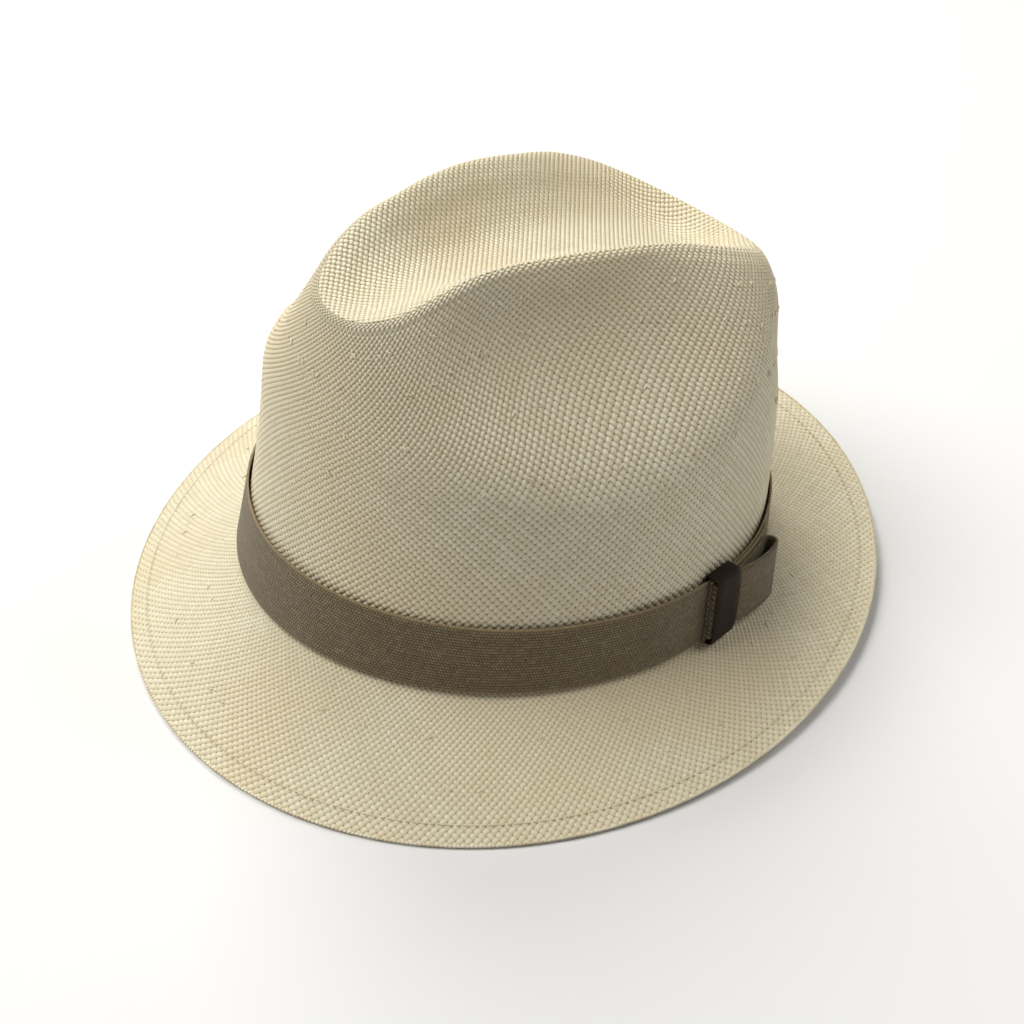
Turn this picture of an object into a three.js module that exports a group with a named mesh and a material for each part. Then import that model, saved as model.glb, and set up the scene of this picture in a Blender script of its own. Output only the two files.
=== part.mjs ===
// A woven straw fedora: crown and brim in one piece, with a ribbon band, a folded bow in a leather
// keeper, and a leather sweatband inside.
//
// Frame: millimetres, +Z up. The hat stands on the front of its brim and the front faces -Y, so the
// wearer's left side is +X. The crown leans back a little, so the crown and everything sewn to it is
// drawn in the crown's own frame, with z up from the foot where crown meets brim, and then leaned.
import * as THREE from 'three';
import { mergeVertices } from 'three/addons/utils/BufferGeometryUtils.js';

// ---- driving dimensions ----
const FOOT_HALF_LENGTH = 104;      // crown foot, front to back, outside the straw
const FOOT_HALF_WIDTH = 87;        // crown foot, side to side, outside the straw
const STRAW = 1.2;                 // thickness of the woven straw
const FOOT_HEIGHT = 16.8;          // centre of the crown's foot above the table
const LEAN = THREE.MathUtils.degToRad(8.2);

const CROWN_HEIGHT = 131;         // ridge of the crown at mid length
const FRONT_LIFT = 14;             // how much higher the ridge is drawn toward the front
const END_DROP = 23.3;             // how much lower the ridge is at both ends
const NOSE_DROP = 9;               // further drop of the ridge's front tip
const NOSE_START = -55;            // where that drop begins
const NOSE_END = -98;
const TOP_FORWARD = 6;             // how far the crown's top is set forward of its foot
const TIP_BACK = 12;               // how far the dent's lowest point is set back in the top
const PINCH_DEPTH = 0.39;          // share of the half width that the side dents take
const PINCH_FADE = 0.21;           // how much less that share is, one reach further back
const PINCH_CENTRE = -12;          // middle of the side dents along the hat
const PINCH_REACH = 95;            // half length of the side dents
const PINCH_FLOOR = 66;            // height where the side dents begin at their lowest
const PINCH_FLOOR_CENTRE = -35;    // where along the hat that lowest point is
const PINCH_FLOOR_RISE = 39;       // how much higher they begin at FLOOR_SPAN from there
const FLOOR_SPAN = 80;
const PINCH_RISE = 56;             // height over which they deepen
const PINCH_EASE = 0.88;           // below 1, they deepen sooner
const SCOOP_DEPTH = 0.06;          // extra depth under the ridge
const SCOOP_LEVEL = 100;
const SCOOP_SPREAD = 20;
const BACK_FULLNESS = 0.35;        // how much wider the top stays toward the back
const OPEN_FRONT = 0.5;            // how much shallower the top dent is at the front

const BRIM_WIDTH = 42.5;           // seen from above
const BRIM_SIDE_EXTRA = 1;
const BRIM_BOW = 0.22;             // how much steeper the brim leaves the crown than it meets the rim
const RIM_BACK_RISE = 9;
const RIM_LAND = 1.4;              // width of the flat lower face of the rim
const EDGE_LINE_INSET = 6;         // the edge stitching's distance from the rim

const RIBBON = 0.8;                // thickness of the band ribbon
const RIBBON_HEIGHT = 25;
const BAND_GAP = 1.5;              // from the straw to the band
const BAND_LIFT = 1.9;             // from the foot to the band's lower edge
const LAYER_GAP = 0.4;             // air between pieces that lie on each other

const LEATHER = 0.7;
const KEEPER_ANGLE = THREE.MathUtils.degToRad(8);
const KEEPER_WIDTH = 13;
const KEEPER_CORNER = 0.9;
const OVERLAP_LENGTH = 46;         // the band's outer end, doubled over its start
const LOOP_LENGTH = 27;            // bow loop beyond the keeper
const LOOP_END_RADIUS = 2.8;
const LOOP_HEIGHT = 22;
const HINGE_GAP = 0.5;

const SWEATBAND = 0.9;
const SWEATBAND_HEIGHT = 32;
const SWEATBAND_LIFT = 3.4;
const SWEATBAND_GAP = 0.5;
const REED_RADIUS = 0.8;
const THREAD = 0.6;
const TAPE = [9, 26, 0.6];         // width, height, thickness of the join tape
const TAG = [24, 14, 0.5];         // width, height, thickness of the blank size tag
const BOW_SIZE = [17, 8, 1.2];     // width, height, thickness of the small inner bow

const AROUND = 72;                 // sections around the hat
const BRIM_ROWS = 5;
const CROWN_ROWS = 18;

// outline of the open crown: share of the foot's half width, share of the crown's height
const CROWN_PROFILE = [
  [1, 0], [0.968, 0.22], [0.94, 0.45], [0.908, 0.66], [0.84, 0.84], [0.755, 0.95],
  [0.66, 1], [0.55, 0.975], [0.42, 0.92], [0.26, 0.875], [0, 0.855],
];
const TOP_STARTS = 0.55;           // share of the outline after which it lies on top of the crown
const LENGTH_KEEP = 1.8;           // how much less the crown narrows front to back than side to side

// ---- materials ----
const straw = new THREE.MeshStandardMaterial({ color: 0xd9ceb0, roughness: 0.72, metalness: 0 });
const ribbon = new THREE.MeshStandardMaterial({ color: 0x8b7d63, roughness: 0.9, metalness: 0 });
const brownLeather = new THREE.MeshStandardMaterial({ color: 0x4a3327, roughness: 0.55, metalness: 0 });
const tanLeather = new THREE.MeshStandardMaterial({ color: 0x9a7a58, roughness: 0.6, metalness: 0 });
const thread = new THREE.MeshStandardMaterial({ color: 0xcfc3a4, roughness: 0.8, metalness: 0 });
const paper = new THREE.MeshStandardMaterial({ color: 0xe8e2d2, roughness: 0.85, metalness: 0 });

// ---- helpers ----
const hat = new THREE.Group();
const turn = 2 * Math.PI;
const point = (x, y, z) => new THREE.Vector3(x, y, z);
const angles = Array.from({ length: AROUND }, (_, i) => (i / AROUND) * turn);

function smoothstep(low, high, value) {
  return THREE.MathUtils.smoothstep(value, low, high);
}

// From the crown's frame to the hat's frame: lean back about X, then lift to the foot's height.
function stand(p) {
  return p.clone().applyAxisAngle(point(-1, 0, 0), LEAN).add(point(0, 0, FOOT_HEIGHT));
}

// Joins sections, each a closed outline with the same number of points, into one closed solid.
function skin(sections, ring) {
  const rows = sections.length;
  const cols = sections[0].length;
  const steps = ring ? rows : rows - 1;
  const index = [];
  for (let r = 0; r < steps; r += 1) {
    for (let c = 0; c < cols; c += 1) {
      const next = (r + 1) % rows;
      const a = r * cols + c;
      const b = r * cols + (c + 1) % cols;
      const d = next * cols + c;
      const e = next * cols + (c + 1) % cols;
      index.push(a, b, d, b, e, d);
    }
  }
  if (!ring) {
    const last = (rows - 1) * cols;
    for (let c = 1; c < cols - 1; c += 1) {
      index.push(0, c + 1, c);
      index.push(last, last + c, last + c + 1);
    }
  }
  const geometry = new THREE.BufferGeometry();
  const flat = sections.flat().flatMap((p) => [p.x, p.y, p.z]);
  geometry.setAttribute('position', new THREE.Float32BufferAttribute(flat, 3));
  geometry.setIndex(index);
  return tidy(mergeVertices(geometry, 1e-3));
}

// Drops triangles that lost a side when points were merged, and turns the solid to face out.
function tidy(geometry) {
  const old = geometry.index.array;
  const position = geometry.attributes.position;
  const kept = [];
  const [a, b, c] = [point(0, 0, 0), point(0, 0, 0), point(0, 0, 0)];
  let volume = 0;
  for (let i = 0; i < old.length; i += 3) {
    const [p, q, r] = [old[i], old[i + 1], old[i + 2]];
    if (p !== q && q !== r && r !== p) {
      kept.push(p, q, r);
      a.fromBufferAttribute(position, p);
      b.fromBufferAttribute(position, q);
      c.fromBufferAttribute(position, r);
      volume += a.dot(b.cross(c));
    }
  }
  if (volume < 0) kept.reverse();
  geometry.setIndex(kept);
  geometry.computeVertexNormals();
  return geometry;
}

function add(name, geometry, material) {
  const mesh = new THREE.Mesh(geometry, material);
  mesh.name = name;
  hat.add(mesh);
  return mesh;
}

// ---- the straw's outer surface ----
function crownOutline(share) {
  const last = CROWN_PROFILE.length - 1;
  const place = Math.min(share * last, last - 1e-9);
  const i = Math.floor(place);
  const f = place - i;
  const at = (k, n) => {
    if (k < 0) return 2 * CROWN_PROFILE[0][n] - CROWN_PROFILE[1][n];
    if (k > last) return 2 * CROWN_PROFILE[last][n] - CROWN_PROFILE[last - 1][n];
    return CROWN_PROFILE[k][n];
  };
  const blend = (n) => {
    const [a, b, c, d] = [at(i - 1, n), at(i, n), at(i + 1, n), at(i + 2, n)];
    const square = 2 * a - 5 * b + 4 * c - d;
    const cube = 3 * b - a - 3 * c + d;
    return 0.5 * (2 * b + (c - a) * f + square * f * f + cube * f * f * f);
  };
  return [blend(0), blend(1)];
}

// How much of the half width the side dents leave, at a place along the hat and a level.
function pinched(y, level) {
  const away = (y - PINCH_CENTRE) / PINCH_REACH;
  const floorAway = (y - PINCH_FLOOR_CENTRE) / FLOOR_SPAN;
  const floor = PINCH_FLOOR + PINCH_FLOOR_RISE * floorAway * floorAway;
  const climb = THREE.MathUtils.clamp((level - floor) / PINCH_RISE, 0, 1);
  const reach = (1 - smoothstep(0.3, 1.35, Math.abs(away))) * smoothstep(0, 1, climb ** PINCH_EASE);
  const scoop = SCOOP_DEPTH * Math.exp(-(((level - SCOOP_LEVEL) / SCOOP_SPREAD) ** 2));
  return 1 - (PINCH_DEPTH - PINCH_FADE * away + scoop) * reach;
}

// A point of the crown in its own frame: angle around it, and share of the way from foot to tip.
function crown(angle, share) {
  const [narrow, high] = crownOutline(share);
  const onTop = share > TOP_STARTS;
  const level = onTop ? CROWN_HEIGHT : high * CROWN_HEIGHT;
  const kept = narrow + LENGTH_KEEP * (1 - narrow) ** 2 * Math.min(1, 1.2 * narrow);
  const inside = onTop ? THREE.MathUtils.clamp(1 - narrow / 0.66, 0, 1) ** 1.5 : 0;
  const shift = TIP_BACK * inside - TOP_FORWARD * smoothstep(0.3, 1, level / CROWN_HEIGHT);
  const y = FOOT_HALF_LENGTH * kept * Math.sin(angle) + shift;
  const along = y / FOOT_HALF_LENGTH;
  const nose = NOSE_DROP * smoothstep(0, 1, (NOSE_START - y) / (NOSE_START - NOSE_END));
  const top = CROWN_HEIGHT - FRONT_LIFT * along - END_DROP * along * along - nose;
  const open = onTop ? OPEN_FRONT * smoothstep(0, 1, (-20 - y) / 75) : 0;
  const full = smoothstep(45, 95, y) * smoothstep(0.7, 0.98, level / CROWN_HEIGHT);
  const x = FOOT_HALF_WIDTH * narrow * Math.cos(angle) * pinched(y, level) * (1 + BACK_FULLNESS * full);
  return point(x, y, (1 - (1 - high) * (1 - open)) * top);
}

function footNormal(angle) {
  return point(Math.cos(angle) / FOOT_HALF_WIDTH, Math.sin(angle) / FOOT_HALF_LENGTH, 0).normalize();
}

function rimHeight(angle) {
  const share = Math.max(0, (Math.sin(angle) + 0.87) / 1.87);
  return RIM_BACK_RISE * share * share;
}

// A point of the brim's upper face in the hat's frame: share 0 at the foot, 1 at the rim.
function brim(angle, share) {
  const foot = stand(crown(angle, 0));
  const width = BRIM_WIDTH + BRIM_SIDE_EXTRA * Math.cos(2 * angle);
  const out = footNormal(angle).multiplyScalar(width * share);
  const drop = rimHeight(angle) + STRAW - foot.z;
  const fall = share + BRIM_BOW * share * (1 - share);
  return point(foot.x + out.x, foot.y + out.y, foot.z + drop * fall);
}

function inward(surface, angle, share, low, high) {
  const step = 1e-3;
  const before = surface(angle, Math.max(low, share - step));
  const after = surface(angle, Math.min(high, share + step));
  const left = surface(angle - step, share);
  const right = surface(angle + step, share);
  return after.sub(before).cross(right.sub(left)).normalize();
}

const standingCrown = (angle, share) => stand(crown(angle, share));

function strawSection(angle) {
  const upper = [];
  const lower = [];
  const rim = brim(angle, 1);
  const width = BRIM_WIDTH + BRIM_SIDE_EXTRA * Math.cos(2 * angle);
  const land = footNormal(angle).multiplyScalar(RIM_LAND);
  upper.push(rim);
  lower.push(point(rim.x, rim.y, rim.z - STRAW));
  lower.push(point(rim.x - land.x, rim.y - land.y, rim.z - STRAW));
  for (let i = 1; i <= BRIM_ROWS; i += 1) {
    const share = (1 - i / BRIM_ROWS) * (1 - 5 / width);
    const p = brim(angle, share);
    const deep = inward(brim, angle, share, 0, 1).multiplyScalar(-STRAW);
    upper.push(p);
    if (i < BRIM_ROWS) lower.push(p.clone().add(deep));
  }
  for (let i = 1; i <= CROWN_ROWS; i += 1) {
    const share = i / CROWN_ROWS;
    const p = standingCrown(angle, share);
    upper.push(i < CROWN_ROWS ? p : standingCrown(0, 1));
  }
  // the corner at the foot, inside the wall and under the brim at once
  const side = footNormal(angle).multiplyScalar(-STRAW);
  lower.push(stand(crown(angle, 0).add(side).add(point(0, 0, -STRAW))));
  for (let i = 1; i < CROWN_ROWS; i += 1) {
    const share = i / CROWN_ROWS;
    const deep = inward(standingCrown, angle, share, 0, 1).multiplyScalar(STRAW);
    lower.push(standingCrown(angle, share).add(deep));
  }
  const tip = stand(crown(0, 1));
  lower.push(tip.add(point(0, -Math.sin(LEAN), -Math.cos(LEAN)).multiplyScalar(STRAW)));
  return upper.concat(lower.reverse());
}

// ---- things sewn to the crown's wall ----
// A point off the crown's wall, at a height above the foot and a distance out from the straw.
function offWall(angle, height, distance) {
  let low = 0;
  let high = 0.35;
  for (let i = 0; i < 30; i += 1) {
    const middle = (low + high) / 2;
    if (crown(angle, middle).z < height) low = middle;
    else high = middle;
  }
  const wall = height > 0 ? crown(angle, low) : crown(angle, 0);
  return point(wall.x, wall.y, height).add(footNormal(angle).multiplyScalar(distance));
}

function strip(angle, bottom, top, inner, outer) {
  return [
    stand(offWall(angle, bottom, inner)), stand(offWall(angle, bottom, outer)),
    stand(offWall(angle, top, outer)), stand(offWall(angle, top, inner)),
  ];
}

function wallRing(bottom, top, inner, outer) {
  return skin(angles.map((angle) => strip(angle, bottom, top, inner, outer)), true);
}

// Angle of a place that lies a length along the wall from the keeper, toward the back when positive.
function angleAlong(length) {
  let angle = KEEPER_ANGLE;
  const steps = 40;
  for (let i = 0; i < steps; i += 1) {
    const speed = Math.hypot(FOOT_HALF_WIDTH * Math.sin(angle), FOOT_HALF_LENGTH * Math.cos(angle));
    angle += length / steps / speed;
  }
  return angle;
}

function wallStrip(from, to, bottom, top, inner, outer, steps) {
  const sections = [];
  for (let i = 0; i <= steps; i += 1) {
    const angle = angleAlong(from + ((to - from) * i) / steps);
    sections.push(strip(angle, bottom, top, inner, outer));
  }
  return skin(sections, false);
}

// ---- straw body and its edge stitching ----
add('straw_body', skin(angles.map(strawSection), true), straw);

function edgeSection(angle) {
  const width = BRIM_WIDTH + BRIM_SIDE_EXTRA * Math.cos(2 * angle);
  const middle = brim(angle, 1 - EDGE_LINE_INSET / width);
  const side = footNormal(angle).multiplyScalar(THREAD / 2);
  const low = 0.45;
  const high = low + THREAD;
  return [
    middle.clone().sub(side).setZ(middle.z + low), middle.clone().add(side).setZ(middle.z + low),
    middle.clone().add(side).setZ(middle.z + high), middle.clone().sub(side).setZ(middle.z + high),
  ];
}
add('brim_edge_thread', skin(angles.map(edgeSection), true), thread);

// ---- band, its doubled end and its tacks ----
const bandBottom = BAND_LIFT;
const bandTop = BAND_LIFT + RIBBON_HEIGHT;
const bandOuter = BAND_GAP + RIBBON;
add('hat_band', wallRing(bandBottom, bandTop, BAND_GAP, bandOuter), ribbon);

const overlapInner = bandOuter + LAYER_GAP;
const overlapOuter = overlapInner + RIBBON;
add('band_overlap', wallStrip(-KEEPER_WIDTH / 2, OVERLAP_LENGTH - KEEPER_WIDTH / 2,
  bandBottom, bandTop, overlapInner, overlapOuter, 12), ribbon);

const tackInset = (BAND_GAP - 0.7) / 2;
const tackHeight = bandTop - 3;
for (const [name, degrees] of [['front', -90], ['left_front', -40], ['rear', 90], ['right', 180]]) {
  const half = 1 / FOOT_HALF_WIDTH;
  const centre = THREE.MathUtils.degToRad(degrees);
  const sections = [centre - half, centre + half].map((angle) => (
    strip(angle, tackHeight - THREAD / 2, tackHeight + THREAD / 2, tackInset, BAND_GAP - tackInset)));
  add(`band_tack_${name}`, skin(sections, false), thread);
}

// ---- bow: root inside the keeper, loop behind it, keeper around all ----
const rootInner = overlapOuter + LAYER_GAP;
const rootOuter = rootInner + 2 * RIBBON;
const loopBottom = bandBottom + (RIBBON_HEIGHT - LOOP_HEIGHT) / 2;
const loopTop = loopBottom + LOOP_HEIGHT;
const rootEnd = KEEPER_WIDTH / 2 + 1.2;
add('bow_root', wallStrip(-KEEPER_WIDTH / 2 + 0.5, rootEnd, loopBottom, loopTop,
  rootInner, rootOuter, 4), ribbon);

// The loop seen from above, as places along the wall and distances out from it.
function loopPath(inset) {
  const start = rootEnd + HINGE_GAP;
  const end = KEEPER_WIDTH / 2 + LOOP_LENGTH - LOOP_END_RADIUS;
  const reach = LOOP_END_RADIUS - inset;
  const middle = rootInner + LOOP_END_RADIUS;
  const path = [];
  const begin = start + inset * 2.2;
  path.push([begin, rootInner + inset]);
  for (let i = 1; i <= 4; i += 1) path.push([begin + ((end - begin) * i) / 5, rootInner + inset]);
  for (let i = 0; i <= 8; i += 1) {
    const swing = -Math.PI / 2 + (Math.PI * i) / 8;
    path.push([end + reach * Math.cos(swing), middle + reach * Math.sin(swing)]);
  }
  for (let i = 1; i <= 4; i += 1) {
    const share = 1 - i / 5;
    const swell = Math.sin((share * Math.PI) / 2);
    const height = rootOuter - inset + (middle + reach - rootOuter + inset) * swell;
    path.push([begin + (end - begin) * share, height]);
  }
  path.push([begin, Math.max(rootOuter - inset, rootInner + inset + 0.02)]);
  return path;
}

function bowLoop() {
  const outer = loopPath(0);
  const inner = loopPath(RIBBON - 0.05);
  const sections = outer.map(([along, out], i) => {
    const [alongIn, outIn] = inner[i];
    const angle = angleAlong(along);
    const angleIn = angleAlong(alongIn);
    return [
      stand(offWall(angle, loopBottom, out)), stand(offWall(angleIn, loopBottom, outIn)),
      stand(offWall(angleIn, loopTop, outIn)), stand(offWall(angle, loopTop, out)),
    ];
  });
  return skin(sections, true);
}
add('bow_loop', bowLoop(), ribbon);

// The keeper's outline in the upright plane across the band: distance out, height.
function roundedBox(left, right, bottom, top, corner) {
  const outline = [];
  const corners = [[right, top, 0], [left, top, 1], [left, bottom, 2], [right, bottom, 3]];
  for (const [x, z, quarter] of corners) {
    const cx = x + (x === right ? -corner : corner);
    const cz = z + (z === top ? -corner : corner);
    for (let i = 0; i <= 2; i += 1) {
      const swing = ((quarter + i / 2) * Math.PI) / 2;
      outline.push([cx + corner * Math.cos(swing), cz + corner * Math.sin(swing)]);
    }
  }
  return outline;
}

function keeper() {
  const left = BAND_GAP - LAYER_GAP - LEATHER;
  const right = rootOuter + LAYER_GAP + LEATHER;
  const bottom = bandBottom - LAYER_GAP - LEATHER;
  const top = bandTop + LAYER_GAP + LEATHER;
  const outer = roundedBox(left, right, bottom, top, KEEPER_CORNER);
  const inner = roundedBox(left + LEATHER, right - LEATHER, bottom + LEATHER, top - LEATHER,
    KEEPER_CORNER - LEATHER);
  const out = footNormal(KEEPER_ANGLE);
  const along = point(-out.y, out.x, 0);
  const place = (distance, height, side) => {
    const wall = offWall(KEEPER_ANGLE, height, distance);
    return stand(wall.add(along.clone().multiplyScalar(side)));
  };
  const half = KEEPER_WIDTH / 2;
  const sections = outer.map(([distance, height], i) => [
    place(distance, height, -half), place(distance, height, half),
    place(inner[i][0], inner[i][1], half), place(inner[i][0], inner[i][1], -half),
  ]);
  return skin(sections, true);
}
add('bow_keeper', keeper(), brownLeather);

// ---- sweatband and what is sewn to it, inside the crown ----
const sweatOuter = -(STRAW + SWEATBAND_GAP);
const sweatInner = sweatOuter - SWEATBAND;
const sweatBottom = SWEATBAND_LIFT;
const sweatTop = sweatBottom + SWEATBAND_HEIGHT;
add('sweatband', wallRing(sweatBottom, sweatTop, sweatInner, sweatOuter), tanLeather);

const reedHeight = sweatBottom - LAYER_GAP - REED_RADIUS;
const reedOut = -(STRAW + LAYER_GAP + REED_RADIUS);
function reedSection(angle) {
  return Array.from({ length: 6 }, (_, i) => {
    const swing = (i / 6) * turn;
    const height = reedHeight + REED_RADIUS * Math.sin(swing);
    const distance = reedOut + REED_RADIUS * Math.cos(swing);
    return stand(offWall(angle, height, distance));
  });
}
add('sweatband_reed', skin(angles.map(reedSection), true), tanLeather);

const seamHeight = sweatBottom + 3;
const seamOuter = sweatInner - LAYER_GAP;
add('sweatband_thread', wallRing(seamHeight, seamHeight + THREAD, seamOuter - THREAD, seamOuter), thread);

// A small plate on the sweatband's inner face at the back, its outline given across and upward.
function backPlate(outline, bottom, outer, thickness) {
  const sections = [outer, outer - thickness].map((distance) => outline.map(([across, up]) => {
    const angle = Math.PI / 2 + across / FOOT_HALF_WIDTH;
    return stand(offWall(angle, bottom + up, distance));
  }));
  return skin(sections, false);
}
const box = (width, height) => [
  [-width / 2, 0], [0, 0], [width / 2, 0], [width / 2, height], [0, height], [-width / 2, height],
];

const tapeBottom = seamHeight + THREAD + LAYER_GAP;
add('sweatband_join_tape', backPlate(box(TAPE[0], TAPE[1] - 2), tapeBottom, sweatInner - LAYER_GAP, TAPE[2]),
  tanLeather);

const bowOuter = sweatInner - LAYER_GAP - TAPE[2] - LAYER_GAP;
const [bowWidth, bowHeight, bowThickness] = BOW_SIZE;
function halfBow(side) {
  return [
    [side * 1, bowHeight * 0.32], [side * bowWidth * 0.5, 0], [side * bowWidth * 0.55, bowHeight * 0.5],
    [side * bowWidth * 0.5, bowHeight], [side * 1, bowHeight * 0.68],
  ];
}
const bowOutline = halfBow(1).concat(halfBow(-1).reverse());
const bowBottom = tapeBottom + 4;
function innerBow() {
  const centre = [0, bowHeight / 2];
  const ring = bowOutline.concat([bowOutline[0]]);
  const sections = ring.map(([across, up]) => [
    ...[bowOuter, bowOuter - bowThickness].map((distance) => {
      const angle = Math.PI / 2 + across / FOOT_HALF_WIDTH;
      return stand(offWall(angle, bowBottom + up, distance));
    }),
    ...[bowOuter - bowThickness, bowOuter].map((distance) => (
      stand(offWall(Math.PI / 2, bowBottom + centre[1], distance)))),
  ]);
  return skin(sections.slice(0, -1), true);
}
add('sweatband_bow', innerBow(), ribbon);

// The blank size tag lies on the sweatband's inner face, toward the back at the wearer's right.
function sizeTag() {
  const middle = Math.PI * 0.86;
  const bottom = sweatTop - TAG[1] - 4;
  const outer = sweatInner - LAYER_GAP;
  const [width, height, thickness] = TAG;
  const sections = [-0.5, -0.25, 0, 0.25, 0.5].map((share) => (
    strip(middle + (share * width) / FOOT_HALF_WIDTH, bottom, bottom + height, outer - thickness, outer)));
  return skin(sections, false);
}
add('size_tag', sizeTag(), paper);

export default hat;
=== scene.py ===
"""Looks of a woven straw fedora: straw body, ribbon band, folded bow, leather keeper and sweatband."""

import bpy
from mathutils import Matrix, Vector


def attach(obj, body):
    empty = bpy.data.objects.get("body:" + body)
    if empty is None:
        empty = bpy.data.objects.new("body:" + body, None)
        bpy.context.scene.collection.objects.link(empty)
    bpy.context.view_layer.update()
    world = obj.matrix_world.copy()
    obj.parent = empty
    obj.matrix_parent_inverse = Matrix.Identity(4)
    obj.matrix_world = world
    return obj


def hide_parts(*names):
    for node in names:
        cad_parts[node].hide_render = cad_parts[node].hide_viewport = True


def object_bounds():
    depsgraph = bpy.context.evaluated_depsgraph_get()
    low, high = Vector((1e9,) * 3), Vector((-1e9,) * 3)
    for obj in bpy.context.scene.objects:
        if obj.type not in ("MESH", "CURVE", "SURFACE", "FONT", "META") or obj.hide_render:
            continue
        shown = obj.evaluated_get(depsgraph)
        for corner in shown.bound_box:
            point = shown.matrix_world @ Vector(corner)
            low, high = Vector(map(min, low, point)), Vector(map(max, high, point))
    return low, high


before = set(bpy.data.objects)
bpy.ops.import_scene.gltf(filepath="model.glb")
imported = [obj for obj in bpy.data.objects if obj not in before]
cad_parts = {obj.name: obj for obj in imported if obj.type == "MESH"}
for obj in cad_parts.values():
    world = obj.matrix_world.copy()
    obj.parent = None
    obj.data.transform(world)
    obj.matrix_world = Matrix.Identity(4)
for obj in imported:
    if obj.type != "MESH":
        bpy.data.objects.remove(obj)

import copy
import math

import bpy
import numpy as np
from mathutils import Matrix, Vector

CAD_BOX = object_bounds()

# ---- sizes, in millimetres, the same as the hat's design ----
FOOT_HALF_LENGTH = 104.0
FOOT_HALF_WIDTH = 87.0
STRAW = 1.2
FOOT_HEIGHT = 16.8
LEAN = math.radians(8.2)
CROWN_HEIGHT = 131.0
FRONT_LIFT = 14.0
END_DROP = 23.3
NOSE_DROP = 9.0
NOSE_START = -55.0
NOSE_END = -98.0
TOP_FORWARD = 6.0
TIP_BACK = 12.0
PINCH_DEPTH = 0.39
PINCH_FADE = 0.21
PINCH_CENTRE = -12.0
PINCH_REACH = 95.0
PINCH_FLOOR = 66.0
PINCH_FLOOR_CENTRE = -35.0
PINCH_FLOOR_RISE = 39.0
FLOOR_SPAN = 80.0
PINCH_RISE = 56.0
PINCH_EASE = 0.88
SCOOP_DEPTH = 0.06
SCOOP_LEVEL = 100.0
SCOOP_SPREAD = 20.0
BACK_FULLNESS = 0.35
OPEN_FRONT = 0.5
CROWN_PROFILE = (
    (1, 0), (0.968, 0.22), (0.94, 0.45), (0.908, 0.66), (0.84, 0.84), (0.755, 0.95),
    (0.66, 1), (0.55, 0.975), (0.42, 0.92), (0.26, 0.875), (0, 0.855),
)
RIDGE_SHARE = 0.6
TOP_STARTS = 0.55
LENGTH_KEEP = 1.8
BRIM_WIDTH = 42.5
BRIM_SIDE_EXTRA = 1.0
BRIM_BOW = 0.22
RIM_BACK_RISE = 9.0
EDGE_LINE_INSET = 6.0

RIBBON = 0.8
RIBBON_HEIGHT = 25.0
BAND_GAP = 1.5
BAND_LIFT = 1.9
LAYER_GAP = 0.4
LEATHER = 0.7
KEEPER_ANGLE = math.radians(8)
KEEPER_WIDTH = 13.0
KEEPER_CORNER = 1.9
KEEPER_SWELL = 1.6
OVERLAP_LENGTH = 46.0
LOOP_LENGTH = 27.0
LOOP_END_RADIUS = 2.8
LOOP_HEIGHT = 22.0
SWEATBAND = 0.9
SWEATBAND_HEIGHT = 32.0
SWEATBAND_LIFT = 3.4
SWEATBAND_GAP = 0.5
REED_RADIUS = 0.8

# ---- how the soft pieces lie, in millimetres ----
BAND_SINK = 0.9
BAND_SETTLE = 0.55
END_SINK = 0.7
END_SETTLE = 0.27
ROOT_SHOWS = 1.2
LOOP_EDGE = 1.5

# ---- weave: cells around each zone of straw; a cell is a diamond of two strands each way ----
CELLS_BRIM = 300
CELLS_SIDE = 206
TOP_CELL = 2.2
RELIEF = 0.18
MM = 0.001
TURN = 1e-3  # a small turn, to find which way a surface runs
RIM_STRANDS = 620
RIM_STRAND_LIFT = 0.2
EDGE_STITCHES = 400
SEAM_STITCHES = 230
CROWN_JOIN_RINGS = (0.27, 0.335, 0.41, 0.48)
CROWN_JOIN_ODDS = 0.24
BRIM_JOIN_RINGS = (0.3, 0.62)
BRIM_JOIN_ODDS = 0.1

# ---- surroundings, in metres ----
FLOOR_REACH = 6.0
LAMP_TINT = (1.0, 0.985, 0.955)
CAMERA_AZIMUTH = math.radians(46.64)
CAMERA_ELEVATION = math.radians(43.15)
CAMERA_ROLL = math.radians(1.13)
CAMERA_DISTANCE = 0.6503
CAMERA_LENS = 60.53
CAMERA_SHIFT = (0.003, 0.0429)


# ---- the straw's outer surface, as formulas ----
def evenly(count):
    """Angles evenly round the hat."""
    return np.arange(count) / count * 2 * np.pi


def smoothstep(low, high, value):
    share = np.clip((value - low) / (high - low), 0, 1)
    return share * share * (3 - 2 * share)


def stand(points):
    """From the crown's own frame to the hat's: lean back about X, then lift to the foot's height."""
    x, y, z = points[..., 0], points[..., 1], points[..., 2]
    turned_y = y * math.cos(LEAN) + z * math.sin(LEAN)
    turned_z = z * math.cos(LEAN) - y * math.sin(LEAN) + FOOT_HEIGHT
    return np.stack([x, turned_y, turned_z], -1)


def crown_outline(share):
    knots = np.array(CROWN_PROFILE, float)
    last = len(knots) - 1
    ends = np.vstack([2 * knots[0] - knots[1], knots, 2 * knots[-1] - knots[-2]])
    place = np.clip(share * last, 0, last - 1e-9)
    i = place.astype(int)
    f = (place - i)[..., None]
    a, b, c, d = ends[i], ends[i + 1], ends[i + 2], ends[i + 3]
    curve = 2 * b + (c - a) * f + (2 * a - 5 * b + 4 * c - d) * f**2 + (3 * b - a - 3 * c + d) * f**3
    return 0.5 * curve[..., 0], 0.5 * curve[..., 1]


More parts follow.
